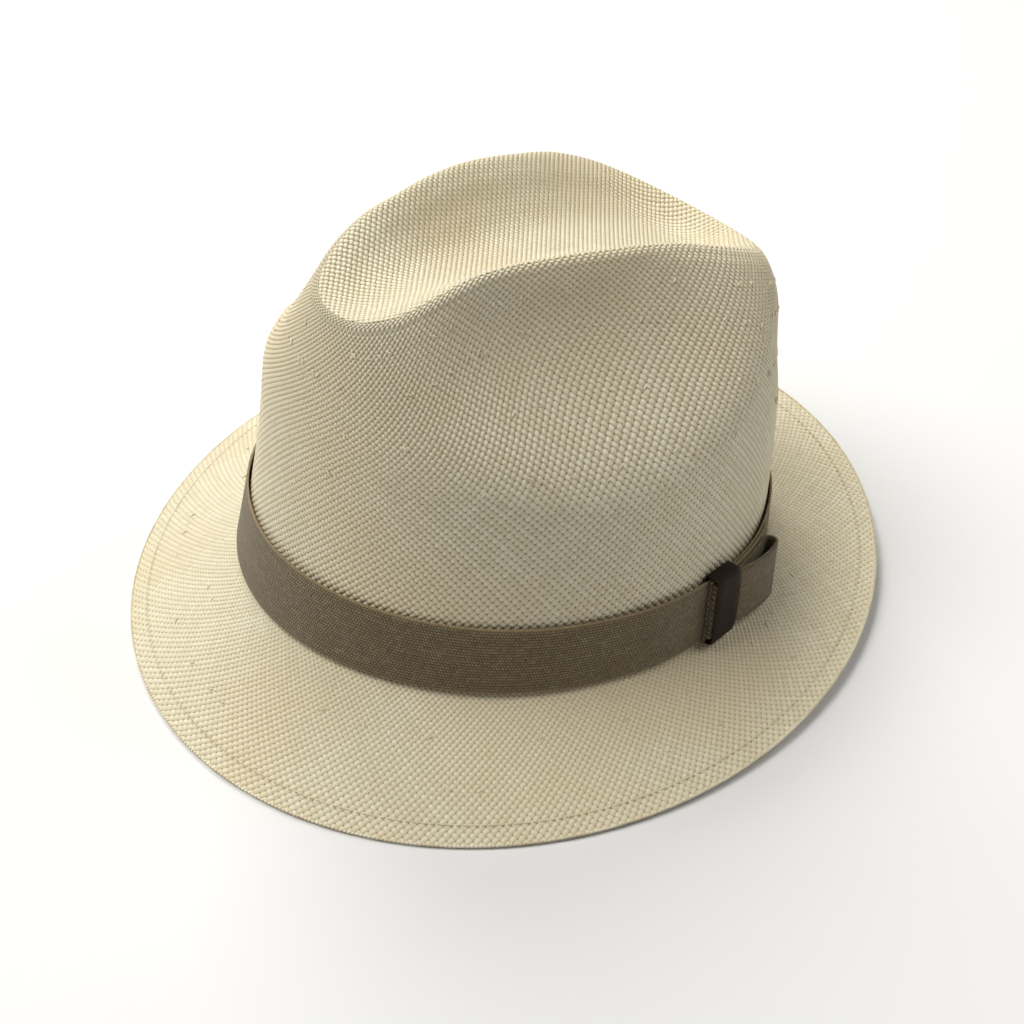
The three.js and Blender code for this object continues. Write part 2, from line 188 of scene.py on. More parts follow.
def pinched(y, level):
    """How much of the half width the side dents leave, at a place along the hat and a level."""
    away = (y - PINCH_CENTRE) / PINCH_REACH
    floor = PINCH_FLOOR + PINCH_FLOOR_RISE * ((y - PINCH_FLOOR_CENTRE) / FLOOR_SPAN) ** 2
    climb = np.clip((level - floor) / PINCH_RISE, 0, 1)
    reach = (1 - smoothstep(0.3, 1.35, np.abs(away))) * smoothstep(0, 1, climb**PINCH_EASE)
    scoop = SCOOP_DEPTH * np.exp(-(((level - SCOOP_LEVEL) / SCOOP_SPREAD) ** 2))
    return 1 - (PINCH_DEPTH - PINCH_FADE * away + scoop) * reach


def crown(angle, share):
    """Points of the crown in its own frame: share 0 at the foot, 1 at the tip."""
    angle, share = np.broadcast_arrays(np.asarray(angle, float), np.asarray(share, float))
    narrow, high = crown_outline(share)
    on_top = share > TOP_STARTS
    level = np.where(on_top, CROWN_HEIGHT, high * CROWN_HEIGHT)
    kept = narrow + LENGTH_KEEP * (1 - narrow) ** 2 * np.minimum(1, 1.2 * narrow)
    inside = np.where(on_top, np.clip(1 - narrow / 0.66, 0, 1) ** 1.5, 0)
    shift = TIP_BACK * inside - TOP_FORWARD * smoothstep(0.3, 1, level / CROWN_HEIGHT)
    y = FOOT_HALF_LENGTH * kept * np.sin(angle) + shift
    along = y / FOOT_HALF_LENGTH
    nose = NOSE_DROP * smoothstep(0, 1, (NOSE_START - y) / (NOSE_START - NOSE_END))
    top = CROWN_HEIGHT - FRONT_LIFT * along - END_DROP * along * along - nose
    opened = np.where(on_top, OPEN_FRONT * smoothstep(0, 1, (-20 - y) / 75), 0)
    full = smoothstep(45, 95, y) * smoothstep(0.7, 0.98, level / CROWN_HEIGHT)
    x = FOOT_HALF_WIDTH * narrow * np.cos(angle) * pinched(y, level) * (1 + BACK_FULLNESS * full)
    return np.stack([x, y, (1 - (1 - high) * (1 - opened)) * top], -1)


def standing_crown(angle, share):
    return stand(crown(angle, share))


def out_normal(angle):
    """Level direction straight out of the foot's oval, in the crown's frame."""
    normal = np.stack([np.cos(angle) / FOOT_HALF_WIDTH, np.sin(angle) / FOOT_HALF_LENGTH, 0 * angle], -1)
    return normal / np.linalg.norm(normal, axis=-1, keepdims=True)


def brim(angle, share):
    """Points of the brim's upper face in the hat's frame: share 0 at the foot, 1 at the rim."""
    angle, share = np.broadcast_arrays(np.asarray(angle, float), np.asarray(share, float))
    foot = stand(crown(angle, 0 * angle))
    width = BRIM_WIDTH + BRIM_SIDE_EXTRA * np.cos(2 * angle)
    spread = foot + out_normal(angle) * (width * share)[..., None]
    back = np.maximum(0, (np.sin(angle) + 0.87) / 1.87)
    drop = RIM_BACK_RISE * back * back + STRAW - foot[..., 2]
    spread[..., 2] = foot[..., 2] + drop * (share + BRIM_BOW * share * (1 - share))
    return spread


def off_wall(angle, height, distance):
    """Points off the crown's wall, standing: a height above the foot and a distance out from the straw."""
    angle, height, distance = np.broadcast_arrays(
        np.asarray(angle, float), np.asarray(height, float), np.asarray(distance, float))
    low = np.zeros_like(angle)
    high = np.full_like(angle, 0.35)
    for _ in range(26):
        middle = (low + high) / 2
        under = crown(angle, middle)[..., 2] < height
        low = np.where(under, middle, low)
        high = np.where(under, high, middle)
    wall = crown(angle, np.where(height > 0, low, 0.0))
    wall[..., 2] = height
    return stand(wall + out_normal(angle) * distance[..., None])


def angle_along(length):
    """Angle of places that lie a length along the wall from the keeper, toward the back when positive."""
    length = np.asarray(length, float)
    angle = np.full_like(length, KEEPER_ANGLE)
    for _ in range(40):
        speed = np.hypot(FOOT_HALF_WIDTH * np.sin(angle), FOOT_HALF_LENGTH * np.cos(angle))
        angle = angle + length / 40 / speed
    return angle


# ---- mesh helpers ----
def new_piece(name, points, faces, material, body="hat", replaces=(), slot=None, uv=None, flat_from=None):
    """A finished piece from points in millimetres, riding on its body; faces from flat_from on stay flat."""
    mesh = bpy.data.meshes.new(name)
    mesh.from_pydata((np.asarray(points) * MM).tolist(), [], faces)
    smooth = np.ones(len(mesh.polygons), bool)
    if flat_from is not None:
        smooth[flat_from:] = False
    mesh.polygons.foreach_set("use_smooth", smooth)
    if uv is not None:
        layer = mesh.uv_layers.new(name="weave")
        layer.data.foreach_set("uv", np.asarray(uv, np.float32).ravel())
    mesh.materials.append(material)
    mesh.update()
    piece = bpy.data.objects.new(name, mesh)
    bpy.context.scene.collection.objects.link(piece)
    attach(piece, body)
    if replaces:
        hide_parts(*replaces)
    return piece


def facing_out(points, faces):
    """The faces turned so that the closed shape they make holds a positive volume."""
    volume = 0.0
    for face in faces:
        a = points[face[0]]
        for k in range(1, len(face) - 1):
            volume += np.dot(a, np.cross(points[face[k]], points[face[k + 1]]))
    if volume < 0:
        return [tuple(reversed(face)) for face in faces], True
    return faces, False


def swept(name, sections, material, ring, uv_at, **kept):
    """Joins sections, each a closed outline of equal count, into one closed piece."""
    sections = np.asarray(sections, float)
    rows, cols = sections.shape[:2]
    points = sections.reshape(-1, 3)
    faces = []
    uvs = []
    for r in range(rows if ring else rows - 1):
        n = (r + 1) % rows
        for c in range(cols):
            d = (c + 1) % cols
            faces.append((r * cols + c, r * cols + d, n * cols + d, n * cols + c))
            uvs.append([uv_at(r, c), uv_at(r, c + 1), uv_at(r + 1, c + 1), uv_at(r + 1, c)])
    if not ring:
        faces.append(tuple(range(cols - 1, -1, -1)))
        uvs.append([uv_at(0, c) for c in range(cols - 1, -1, -1)])
        faces.append(tuple((rows - 1) * cols + c for c in range(cols)))
        uvs.append([uv_at(rows - 1, c) for c in range(cols)])
    faces, turned = facing_out(points, faces)
    if turned:
        uvs = [list(reversed(corner)) for corner in uvs]
    flat = np.array([pair for corner in uvs for pair in corner])
    return new_piece(name, points, faces, material, uv=flat, **kept)


# ---- woven straw ----
class Zone:
    """A ring of straw between two shares of a surface, woven with one number of cells around."""

    def __init__(self, surface, start, end, cells, fine=2):
        self.surface = surface
        self.cells = cells
        self.fine = fine
        shares = np.linspace(start, end, 240)
        angles = np.linspace(0, 2 * np.pi, 181)
        grid = surface(angles[:, None], shares[None, :])
        around = np.linalg.norm(np.diff(grid, axis=0), axis=-1).sum(0)
        steps = np.linalg.norm(np.diff(grid, axis=1), axis=-1).mean(0)
        rate = cells / ((around[1:] + around[:-1]) / 2)
        height = np.concatenate([[0], np.cumsum(steps * rate)])
        self.rows = 2 * fine * max(1, int(round(height[-1])))
        self.shares = np.interp(np.linspace(0, height[-1], self.rows + 1), height, shares)
        self.columns = cells * fine
        self.first = 0

    def part(self, first, last):
        """The same lattice between two of its rows, both of them the first row of a cell."""
        piece = copy.copy(self)
        piece.first = self.first + first
        piece.rows = last - first
        piece.shares = self.shares[first:last + 1]
        return piece

    def plain(self):
        """The same zone on a lattice with one vertex on each crossing, for the face that lies inside."""
        piece = copy.copy(self)
        piece.fine = 1
        piece.first = self.first // self.fine
        piece.rows = self.rows // self.fine
        piece.columns = self.cells
        piece.shares = self.shares[::self.fine]
        return piece

    def lattice(self):
        """Angles, shares and cell coordinates of the vertices, one row of columns after another."""
        j, k = np.meshgrid(np.arange(self.rows + 1), np.arange(self.columns), indexing="ij")
        i = 2 * k + j % 2
        u = i / (2 * self.fine)
        v = (self.first + j) / (2 * self.fine)
        angle = 2 * np.pi * u / self.cells
        share = np.broadcast_to(self.shares[:, None], angle.shape)
        return angle, share, u, v

    def faces(self):
        """Diamonds along the strands, with triangles at both edges; a corner is a row and a place in it."""
        found = []
        for j in range(-1, self.rows):
            odd = j % 2
            for k in range(self.columns):
                low = (j, k) if j >= 0 else None
                right = (j + 1, k + odd)
                left = (j + 1, k + odd - 1)
                high = (j + 2, k) if j + 2 <= self.rows else None
                corners = [c for c in (low, right, high, left) if c is not None]
                if len(corners) >= 3:
                    found.append(corners)
        return found


def weave_height(u, v):
    """Height of the woven surface at cell coordinates: 1 on a strand, -1 in a hole."""
    return (np.cos(2 * np.pi * (u + v)) + np.cos(2 * np.pi * (u - v))) / 2


def surface_normals(surface, angle, share):
    step = 2e-3
    across = surface(angle + step, share) - surface(angle - step, share)
    before = np.clip(share - step, 0, 1)
    after = np.clip(share + step, 0, 1)
    upward = surface(angle, after) - surface(angle, before)
    normal = np.cross(across, upward)
    return normal / np.maximum(1e-9, np.linalg.norm(normal, axis=-1, keepdims=True))


def woven_shell(name, zone, outward, material, **kept):
    """Closed shell of woven straw, its outer face in relief; outward is 1 or -1 along the normal."""
    plain = zone.plain()
    points = []
    marks = []
    for layer, relief, depth in ((zone, RELIEF, 0.0), (plain, 0.0, STRAW)):
        angle, share, u, v = layer.lattice()
        normal = surface_normals(layer.surface, angle, share) * outward
        rise = (weave_height(u, v)[..., None] - 0.4) * relief - depth
        points.append((layer.surface(angle, share) + normal * rise).reshape(-1, 3))
        marks.append(np.stack([u, v], -1).reshape(-1, 2))
    under = len(points[0])
    points = np.concatenate(points)
    marks = np.concatenate(marks)
    faces = []
    uvs = []

    def add(corners, turned):
        """One face; a corner is its row's first vertex, its place in the row and the row's count."""
        ids = [row + k % count for row, k, count in corners]
        shifts = [k // count * zone.cells for _, k, count in corners]
        order = range(len(ids) - 1, -1, -1) if turned else range(len(ids))
        faces.append([ids[n] for n in order])
        uvs.extend([marks[ids[n]] + (shifts[n], 0) for n in order])

    for layer, start, side in ((zone, 0, 1), (plain, under, -1)):
        for corners in layer.faces():
            add([(start + j * layer.columns, k, layer.columns) for j, k in corners], side * outward < 0)
    flat_from = len(faces)
    for last in (False, True):
        outer_row = zone.rows * zone.columns if last else 0
        inner_row = under + (plain.rows * plain.columns if last else 0)
        for k in range(plain.columns):
            outer = [(outer_row, zone.fine * k + step, zone.columns) for step in range(zone.fine + 1)]
            inner = [(inner_row, k + 1, plain.columns), (inner_row, k, plain.columns)]
            add(outer + inner, (not last) != (outward < 0))
    return new_piece(name, points, faces, material, uv=uvs, flat_from=flat_from, slot="straw", **kept)


def crown_top_shell(name, start, columns, rows):
    """The crown's top: woven flat across, so its strands run straight over the middle, with a closed tip."""
    angles = np.arange(columns) / columns * 2 * np.pi
    shares = 1 - (1 - start) * np.linspace(1, 0, rows + 1)[:-1]
    base = standing_crown(angles[:, None], shares[None, :]).transpose(1, 0, 2)
    normal = surface_normals(standing_crown, angles[None, :], shares[:, None])
    tip = standing_crown(np.zeros(1), np.ones(1))
    up = stand(np.array([0, 0, 1.0])) - stand(np.array([0, 0, 0.0]))
    faces = []
    points = []
    for side, deep in ((1, 0.0), (-1, STRAW)):
        first = len(points)
        points.extend((base - normal * deep).reshape(-1, 3))
        points.extend(tip - up * deep)
        for r in range(rows - 1):
            for c in range(columns):
                n = (c + 1) % columns
                face = [first + r * columns + c, first + r * columns + n,
                        first + (r + 1) * columns + n, first + (r + 1) * columns + c]
                faces.append(face[::side])
        last = first + (rows - 1) * columns
        for c in range(columns):
            face = [last + c, last + (c + 1) % columns, first + rows * columns]
            faces.append(face[::side])
    flat_from = len(faces)
    under = rows * columns + 1
    for c in range(columns):
        n = (c + 1) % columns
        faces.append([under + c, under + n, n, c])
    points = np.array(points)
    flat = points[:, :2] / TOP_CELL
    uvs = [flat[i] for face in faces for i in face]
    return new_piece(name, points, faces, STRAW_LOOK, uv=uvs, flat_from=flat_from, slot="straw")


# ---- material building blocks ----
class Graph:
    """A short way to write a material's nodes."""

    def __init__(self, name):
        self.material = bpy.data.materials.new(name)
        self.material.use_nodes = True
        self.tree = self.material.node_tree
        self.shader = self.tree.nodes["Principled BSDF"]

    def node(self, kind, **inputs):
        made = self.tree.nodes.new(kind)
        for name, value in inputs.items():
            self.put(made.inputs[name.replace("_", " ")], value)
        return made

    def put(self, socket, value):
        if isinstance(value, bpy.types.NodeSocket):
            self.tree.links.new(value, socket)
        else:
            socket.default_value = value

    def math(self, operation, a, b=0.0, c=0.0, clamp=False):
        made = self.tree.nodes.new("ShaderNodeMath")
        made.operation = operation
        made.use_clamp = clamp
        for socket, value in zip(made.inputs, (a, b, c)):
            self.put(socket, value)
        return made.outputs[0]

    def span(self, value, low, high, to_low=0.0, to_high=1.0):
        """The value carried smoothly from one span to another, held at its ends."""
        made = self.tree.nodes.new("ShaderNodeMapRange")
        made.interpolation_type = "SMOOTHSTEP"
        for name, part in (("Value", value), ("From Min", low), ("From Max", high),
                           ("To Min", to_low), ("To Max", to_high)):
            self.put(made.inputs[name], part)
        return made.outputs[0]

    def mix(self, share, a, b):
        made = self.tree.nodes.new("ShaderNodeMix")
        made.data_type = "RGBA"
        self.put(made.inputs["Factor"], share)
        self.put(made.inputs["A"], a)
        self.put(made.inputs["B"], b)
        return made.outputs["Result"]

    def noise(self, vector, scale, detail=2.0, rough=0.5):
        made = self.node("ShaderNodeTexNoise", Vector=vector, Scale=scale, Detail=detail, Roughness=rough)
        return made.outputs["Fac"]

    def random(self, x, y, z=0.0):
        joined = self.node("ShaderNodeCombineXYZ", X=x, Y=y, Z=z)
        return self.node("ShaderNodeTexWhiteNoise", Vector=joined.outputs[0]).outputs["Value"]

    def uv(self, name):
        made = self.tree.nodes.new("ShaderNodeUVMap")
        made.uv_map = name
        parts = self.node("ShaderNodeSeparateXYZ", Vector=made.outputs[0])
        return parts.outputs[0], parts.outputs[1]

    def place(self):
        return self.tree.nodes.new("ShaderNodeTexCoord").outputs["Object"]

    def bump(self, height, distance, strength):
        return self.node("ShaderNodeBump", Height=height, Distance=distance, Strength=strength).outputs[0]

    def finish(self, color, roughness, normal=None, sheen=0.0, specular=0.5):
        self.put(self.shader.inputs["Base Color"], color)
        self.put(self.shader.inputs["Roughness"], roughness)
        self.shader.inputs["Sheen Weight"].default_value = sheen
        self.shader.inputs["Specular IOR Level"].default_value = specular
        if normal is not None:
            self.put(self.shader.inputs["Normal"], normal)
        return self.material


def color(red, green, blue):
    """Shader colour from the eight-bit display values a maker would note down."""
    def linear(value):
        value /= 255
        return value / 12.92 if value <= 0.04045 else ((value + 0.055) / 1.055) ** 2.4
    return linear(red), linear(green), linear(blue), 1.0


# ---- materials ----
def woven_straw(name, groove_shade_tone, pit_shade_tone, strength):
    """Plain weave of split straw: each strand passes over and under, with painted shade darkening the
    grooves between strands and the holes between them.
    """
    g = Graph(name)
    u, v = g.uv("weave")
    first = g.math("ADD", u, v)
    second = g.math("SUBTRACT", u, v)
    first_strand = g.math("ROUND", first)
    second_strand = g.math("ROUND", second)
    in_first = g.math("SUBTRACT", first, first_strand)
    in_second = g.math("SUBTRACT", second, second_strand)

    def rise(along, crossed, over):
        wave = g.math("COSINE", g.math("MULTIPLY", g.math("ADD", along, crossed), math.pi))
        return g.math("MULTIPLY_ADD", wave, 0.42 * over, 0.58)

    def rounding(offset):
        share = g.math("MULTIPLY", offset, 2.06)
        return g.math("SQRT", g.math("SUBTRACT", 1.0, g.math("MULTIPLY", share, share), clamp=True))

    running = g.math("MULTIPLY", rounding(in_second), rise(first, second_strand, 1))
    crossing = g.math("MULTIPLY", rounding(in_first), rise(second, first_strand, -1))
    height = g.math("MAXIMUM", running, crossing)
    on_top = g.span(g.math("SUBTRACT", running, crossing), -0.02, 0.02)

    tone_running = g.random(second_strand, g.math("FLOOR", g.math("MULTIPLY", first, 0.11)), 3.0)
    tone_crossing = g.random(first_strand, g.math("FLOOR", g.math("MULTIPLY", second, 0.11)), 8.0)
    tone = g.math("ADD", g.math("MULTIPLY", tone_running, on_top),
                  g.math("MULTIPLY", tone_crossing, g.math("SUBTRACT", 1.0, on_top)))
    place = g.place()
    cloud = g.noise(place, 16.0, 3.0)
    stain = g.noise(place, 55.0, 4.0, 0.6)
    light = g.mix(tone, color(229, 219, 187), color(240, 232, 204))
    warm = g.mix(g.span(cloud, 0.38, 0.66, 0.0, 0.6), light, color(233, 216, 179))
    aged = g.mix(g.span(stain, 0.6, 0.78, 0.0, 0.25), warm, color(206, 188, 146))
    # painted shade: the low grooves between strands and the holes are coloured darker, standing in for the
    # shade that falls in them
    groove_shaded = g.mix(g.span(height, 0.16, 0.62), groove_shade_tone, aged)
    shaded = g.mix(g.span(height, 0.06, 0.22), pit_shade_tone, groove_shaded)
    fibre = g.noise(g.node("ShaderNodeCombineXYZ", X=g.math("MULTIPLY", first, 5.0),
                           Y=g.math("MULTIPLY", second, 5.0)).outputs[0], 1.0, 2.0)
    relief = g.math("MULTIPLY_ADD", fibre, 0.12, height)
    normal = g.bump(relief, 0.0008, strength)
    roughness = g.span(tone, 0.0, 1.0, 0.62, 0.5)
    return g.finish(shaded, roughness, normal, sheen=0.08, specular=0.35)


def canvas_ribbon():
    """Coarse canvas ribbon, heathered taupe, with a paler edge thread along both selvages and painted shade
    in the hollows between threads.
    """
    g = Graph("canvas_ribbon")
    along, up = g.uv("weave")
    pitch = 1.05
    warp = g.math("SINE", g.math("MULTIPLY", along, 2 * math.pi / pitch))
    row = g.math("FLOOR", g.math("DIVIDE", up, pitch))
    shifted = g.math("ADD", along, g.math("MULTIPLY", row, pitch / 2))
    thread_wave = g.math("SINE", g.math("MULTIPLY", shifted, 2 * math.pi / pitch))
    weft = g.math("ABSOLUTE", g.math("SINE", g.math("MULTIPLY", up, math.pi / pitch)))
    height = g.math("MULTIPLY", weft, g.math("MULTIPLY_ADD", thread_wave, 0.4, 0.6))
    column = g.math("FLOOR", g.math("DIVIDE", shifted, pitch))
    fleck = g.random(column, row, 1.0)
    yarn = g.random(row, g.math("FLOOR", g.math("DIVIDE", along, 9.0)), 2.0)
    place = g.place()
    slub = g.noise(place, 420.0, 3.0, 0.6)
    base = g.mix(fleck, color(118, 104, 77), color(160, 146, 115))
    mottled = g.mix(g.span(slub, 0.4, 0.65), base, color(138, 123, 94))
    striped = g.mix(g.math("MULTIPLY", yarn, 0.35), mottled, color(110, 95, 68))
    # painted shade: the hollows between the ribbon's threads are coloured darker
    hollow_shaded = g.mix(g.span(height, 0.05, 0.45), color(78, 66, 45), striped)
    edge = g.span(g.math("ABSOLUTE", g.math("SUBTRACT", up, RIBBON_HEIGHT / 2)),
                  RIBBON_HEIGHT / 2 - 1.1, RIBBON_HEIGHT / 2 - 0.5)
    tinted = g.mix(g.math("MULTIPLY", edge, 0.4), hollow_shaded, color(168, 146, 108))
    coarse = g.math("MULTIPLY_ADD", g.math("MULTIPLY", warp, slub), 0.15, height)
    normal = g.bump(coarse, 0.00035, 0.9)
    return g.finish(tinted, 0.93, normal, sheen=0.25, specular=0.2)


def keeper_leather():
    """Smooth dark brown leather, a little lighter where its edges are cut and rubbed."""
    g = Graph("keeper_leather")
    place = g.place()
    grain = g.node("ShaderNodeTexVoronoi", Vector=place, Scale=1500.0).outputs["Distance"]
    wrinkle = g.noise(place, 260.0, 4.0, 0.6)
    side, _ = g.uv("weave")
    edge = g.span(g.math("ABSOLUTE", side), 0.82, 1.0)
    base = g.mix(g.span(wrinkle, 0.35, 0.7), color(30, 18, 11), color(42, 26, 17))
    worn = g.mix(g.math("MULTIPLY", edge, 0.5), base, color(60, 40, 27))
    normal = g.bump(g.math("MULTIPLY_ADD", wrinkle, 0.8, grain), 0.00012, 0.6)
    return g.finish(worn, g.span(wrinkle, 0.3, 0.7, 0.6, 0.72), normal, specular=0.22)


def sweatband_leather():
    """Soft tan leather with a fine grain and a few darker patches."""
    g = Graph("sweatband_leather")
    place = g.place()
    grain = g.node("ShaderNodeTexVoronoi", Vector=place, Scale=1100.0).outputs["Distance"]
    patch = g.noise(place, 30.0, 3.0)
    crease = g.noise(place, 300.0, 4.0, 0.65)
    base = g.mix(g.span(patch, 0.35, 0.7), color(168, 132, 94), color(188, 152, 112))
    tone = g.mix(g.span(crease, 0.55, 0.8, 0.0, 0.4), base, color(132, 98, 66))
    normal = g.bump(g.math("MULTIPLY_ADD", crease, 0.6, grain), 0.00012, 0.6)
    return g.finish(tone, g.span(crease, 0.3, 0.7, 0.48, 0.64), normal, specular=0.4)


def twisted_thread(name, low, high):
    """Sewing thread: a twist along it and a soft sheen."""
    g = Graph(name)
    place = g.place()
    twist = g.noise(place, 2600.0, 1.0)
    cloud = g.noise(place, 90.0, 2.0)
    base = g.mix(g.span(cloud, 0.35, 0.65), low, high)
    return g.finish(base, 0.7, g.bump(twist, 0.00008, 0.6), sheen=0.2, specular=0.3)


def tag_cloth():
    """Blank off-white woven tag."""
    g = Graph("tag_cloth")
    _, up = g.uv("weave")
    rib = g.math("SINE", g.math("MULTIPLY", up, 2 * math.pi / 0.4))
    fleck = g.noise(g.place(), 300.0, 3.0)
    base = g.mix(g.span(fleck, 0.35, 0.7), color(226, 219, 203), color(238, 233, 221))
    return g.finish(base, 0.85, g.bump(rib, 0.00005, 0.6), sheen=0.2, specular=0.25)


def floor_paint():
    g = Graph("pale_floor")
    cloud = g.noise(g.place(), 3.0, 2.0)
    return g.finish(g.mix(cloud, (0.84, 0.84, 0.84, 1), (0.86, 0.86, 0.86, 1)), 0.9, specular=0.1)


# the groove and pit colours given here are painted shade, darker on the crown than on the brim
STRAW_LOOK = woven_straw("crown_straw", color(148, 130, 88), color(46, 38, 22), 1.0)
BRIM_LOOK = woven_straw("brim_straw", color(178, 162, 122), color(112, 96, 62), 0.7)
RIBBON_LOOK = canvas_ribbon()
KEEPER_LOOK = keeper_leather()
SWEATBAND_LOOK = sweatband_leather()
STRAW_END_LOOK = twisted_thread("straw_ends", color(218, 206, 174), color(238, 230, 205))
THREAD_LOOK = twisted_thread("cream_thread", color(214, 200, 166), color(232, 222, 194))
TAG_LOOK = tag_cloth()


# ---- straw body ----
def straw_body():
    """Crown side, split where the band hides it, crown top and brim."""
    side = Zone(standing_crown, 0.0, RIDGE_SHARE, CELLS_SIDE)
    hidden = off_wall(0.0, BAND_LIFT + RIBBON_HEIGHT - 5, 0.0)[2]
    heights = standing_crown(np.zeros_like(side.shares), side.shares)[:, 2]
    cell = 2 * side.fine
    half = int(np.searchsorted(heights, hidden)) // cell * cell
    woven_shell("straw_crown_side", side.part(0, half), 1, STRAW_LOOK, replaces=("straw_body",))
    woven_shell("straw_crown_shoulder", side.part(half, side.rows), 1, STRAW_LOOK)
    crown_top_shell("straw_crown_top", RIDGE_SHARE, 360, 90)
    woven_shell("straw_brim", Zone(brim, 0.0, 1.0, CELLS_BRIM), -1, BRIM_LOOK)


# ---- ribbon, leather and tag pieces ----
def strip_section(bottom, top, inner, outer, rows, edge=0.25):
    """Upright outline of a ribbon or strap, its long faces in rows and its edges rounded."""
    thick = outer - inner
    heights = np.linspace(bottom + edge, top - edge, rows)
    marks = [(outer, h) for h in heights]
    marks += [(outer - thick * 0.25, top), (inner + thick * 0.25, top)]
    marks += [(inner, h) for h in heights[::-1]]
    marks += [(inner + thick * 0.25, bottom), (outer - thick * 0.25, bottom)]
    return [(distance, height) for distance, height in marks]


def wall_band(name, angles, lengths, bottom, top, inner, outer, material, ring, rows=7, wave=None, **kept):
    """A strap that follows the wall at a set of angles; lengths are the places along it, for its weave."""
    outline = strip_section(bottom, top, 0.0, outer - inner, rows)
    distances = np.array([d for d, _ in outline])
    heights = np.array([h for _, h in outline])
    lift = np.zeros_like(angles) if wave is None else wave
    sections = off_wall(angles[:, None], heights[None, :], inner + lift[:, None] + distances[None, :])
    count = len(outline)

    def uv_at(r, c):
        along = lengths[r] if r < len(lengths) else lengths[-1] + lengths[1] - lengths[0]
        return along, heights[c % count] - bottom

    return swept(name, sections, material, ring, uv_at, **kept)


def around(count):
    """Angles evenly round the wall, and the length travelled to each."""
    angles = np.linspace(0, 2 * np.pi, count + 1)[:-1]
    points = off_wall(angles, 12.0, 2.0)
    steps = np.linalg.norm(np.diff(points, axis=0), axis=-1)
    return angles, np.concatenate([[0], np.cumsum(steps)])


def bump_near(angle, centre, width):
    """1 near an angle, fading to 0 a width away."""
    away = np.abs((angle - centre + np.pi) % (2 * np.pi) - np.pi)
    return 1 - smoothstep(width * 0.5, width, away)


def hat_band():
    """The ribbon round the crown, a little slack but for where the keeper holds it."""
    angles, lengths = around(360)
    inner = BAND_GAP - BAND_SETTLE
    bottom = BAND_LIFT - BAND_SINK
    near_keeper = bump_near(angles, KEEPER_ANGLE, 0.5)
    slack = 0.22 * np.sin(3 * angles + 0.7) + 0.15 * np.sin(7 * angles)
    wave = BAND_SETTLE * near_keeper + slack * (1 - near_keeper)
    band = wall_band("band_ribbon", angles, lengths, bottom, bottom + RIBBON_HEIGHT,
                     inner, inner + RIBBON, RIBBON_LOOK, True, rows=9, wave=wave,
                     replaces=("hat_band",), slot="ribbon")


def band_overlap():
    """The band's free end, lapped over its start."""
    start = -KEEPER_WIDTH / 2
    lengths = np.linspace(start, start + OVERLAP_LENGTH, 40)
    angles = angle_along(lengths)
    inner = BAND_GAP + RIBBON + LAYER_GAP
    bottom = BAND_LIFT - END_SINK
    settle = -END_SETTLE * smoothstep(20, 38, lengths)
    piece = wall_band("band_end", angles, lengths, bottom, bottom + RIBBON_HEIGHT,
                      inner, inner + RIBBON, RIBBON_LOOK, False, rows=9, wave=settle,
                      replaces=("band_overlap",), slot="ribbon")


ROOT_INNER = BAND_GAP + 2 * RIBBON + 2 * LAYER_GAP
ROOT_OUTER = ROOT_INNER + 2 * RIBBON
LOOP_BOTTOM = BAND_LIFT + (RIBBON_HEIGHT - LOOP_HEIGHT) / 2
ROOT_END = KEEPER_WIDTH / 2 + ROOT_SHOWS


def bow():
    """The bow's folded root under the keeper, and its sprung loop."""
    lengths = np.linspace(-KEEPER_WIDTH / 2 + 0.5, ROOT_END, 10)
    wall_band("bow_fold", angle_along(lengths), lengths, LOOP_BOTTOM, LOOP_BOTTOM + LOOP_HEIGHT,
              ROOT_INNER, ROOT_OUTER, RIBBON_LOOK, False, replaces=("bow_root",), slot="ribbon")
    path = loop_path()
    rows = 9
    heights = np.linspace(LOOP_BOTTOM, LOOP_BOTTOM + LOOP_HEIGHT, rows)
    tangent = np.gradient(path, axis=0)
    tangent /= np.linalg.norm(tangent, axis=1, keepdims=True)
    side = np.stack([tangent[:, 1], -tangent[:, 0]], -1)
    travelled = np.concatenate([[0], np.cumsum(np.linalg.norm(np.diff(path, axis=0), axis=1))])
    half = RIBBON / 2
    outline = [(half, h) for h in heights] + [(-half, h) for h in heights[::-1]]
    marks = [h - LOOP_BOTTOM + LOOP_EDGE for _, h in outline]
    sections = []
    for (along, out), (side_along, side_out) in zip(path, side):
        section = []
        for reach, height in outline:
            angle = angle_along(np.array([along + side_along * reach]))
            section.append(off_wall(angle, height, out + side_out * reach)[0])
        sections.append(section)
    piece = swept("bow_loop_ribbon", sections, RIBBON_LOOK, False,
                  lambda r, c: (travelled[r], marks[c % len(marks)]),
                  body="loop", replaces=("bow_loop",), slot="ribbon")


def loop_path():
    """The bow loop's middle line seen from above: along the wall, round the end and back to the keeper."""
    half = RIBBON / 2
    start = ROOT_END + 0.5
    end = KEEPER_WIDTH / 2 + LOOP_LENGTH - LOOP_END_RADIUS
    reach = LOOP_END_RADIUS - half
    middle = ROOT_INNER + LOOP_END_RADIUS
    inner = [(start + (end - start) * s, ROOT_INNER + half) for s in np.linspace(0, 1, 12)[:-1]]
    swing = np.linspace(-np.pi / 2, np.pi / 2, 15)
    bend = [(end + reach * math.cos(s), middle + reach * math.sin(s)) for s in swing]
    low = ROOT_OUTER - half
    outer = []
    for share in np.linspace(1, 0, 12)[1:]:
        out = low + (middle + reach - low) * math.sin(share * math.pi / 2)
        outer.append((start + (end - start) * share, out))
    return np.array(inner + bend + outer)


